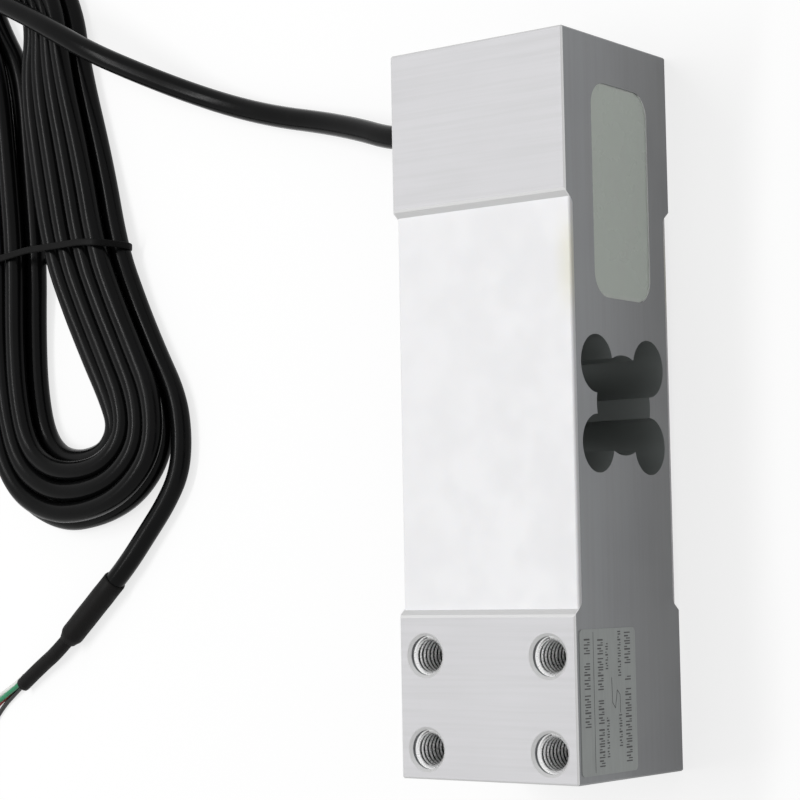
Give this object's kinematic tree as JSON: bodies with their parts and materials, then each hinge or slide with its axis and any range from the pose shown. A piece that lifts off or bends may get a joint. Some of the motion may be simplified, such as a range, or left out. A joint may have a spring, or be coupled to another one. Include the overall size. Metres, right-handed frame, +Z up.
{
  "type": "single point load cell",
  "caption": "Aluminium bar load cell with a binocular cutout, covered strain gauges, a potted side pocket, tapped end pads and a long wound cable with bare core ends.",
  "frame": {"origin": "centre of the body's underside, in the plane of the end pads' lower faces", "axes": "+X along the body towards the fixed end with the pocket and the cable, +Z up towards the load end's tapped holes, -Y towards the pocket side"},
  "size_m": [0.2269, 0.2233, 0.04],
  "materials": {
    "machined_aluminium": "satin, fine milled surface",
    "silicone_cover": "white silicone, satin",
    "gauge_film": "amber polyimide film",
    "gauge_foil": "etched constantan foil",
    "copper": "bare copper, satin",
    "ribbon": "smooth flat ribbon lead",
    "board_laminate": "green solder mask over laminate",
    "resistor_body": "matt black",
    "solder": "bright solder",
    "potting": "translucent grey-green potting",
    "bush_steel": "turned stainless steel",
    "seal_rubber": "black rubber, matt",
    "cable_jacket": "black PVC, soft gloss",
    "label_film": "silver-grey film, satin",
    "tie_nylon": "black nylon",
    "shrink_tubing": "dark matt polyolefin",
    "core_red": "red PVC insulation",
    "core_black": "black PVC insulation",
    "core_green": "green PVC insulation",
    "core_white": "white PVC insulation",
    "tinned_copper": "tinned copper strands"
  },
  "bodies": {
    "root": {"spring_body": "machined_aluminium", "gauge_cover_top": "silicone_cover", "gauge_film_top_load": "gauge_film", "gauge_grid_top_load": "gauge_foil", "gauge_film_top_fixed": "gauge_film", "gauge_grid_top_fixed": "gauge_foil", "terminal_strip_top": "gauge_film", "terminal_pads_top": "copper", "gauge_jumpers_top": "copper", "gauge_ribbon_top": "ribbon", "gauge_cover_bottom": "silicone_cover", "gauge_film_bottom_load": "gauge_film", "gauge_grid_bottom_load": "gauge_foil", "gauge_film_bottom_fixed": "gauge_film", "gauge_grid_bottom_fixed": "gauge_foil", "terminal_strip_bottom": "gauge_film", "terminal_pads_bottom": "copper", "gauge_jumpers_bottom": "copper", "gauge_ribbon_bottom": "ribbon", "compensation_board": "board_laminate", "trim_resistors": "resistor_body", "solder_joints": "solder", "pocket_potting": "potting", "cable_bush": "bush_steel", "cable_seal": "seal_rubber", "cable_inner_end": "cable_jacket", "rating_label": "label_film", "cable_lead": "cable_jacket", "cable_hank": "cable_jacket", "cable_tie": "tie_nylon", "cable_tail": "cable_jacket", "shrink_sleeve": "shrink_tubing", "end_tube": "shrink_tubing", "tinned_ends": "tinned_copper", "inner_core_red": "core_red", "inner_core_black": "core_black", "inner_core_green": "core_green", "inner_core_white": "core_white", "core_red": "core_red", "core_black": "core_black", "core_green": "core_green", "core_white": "core_white"}
  },
  "joints": []
}
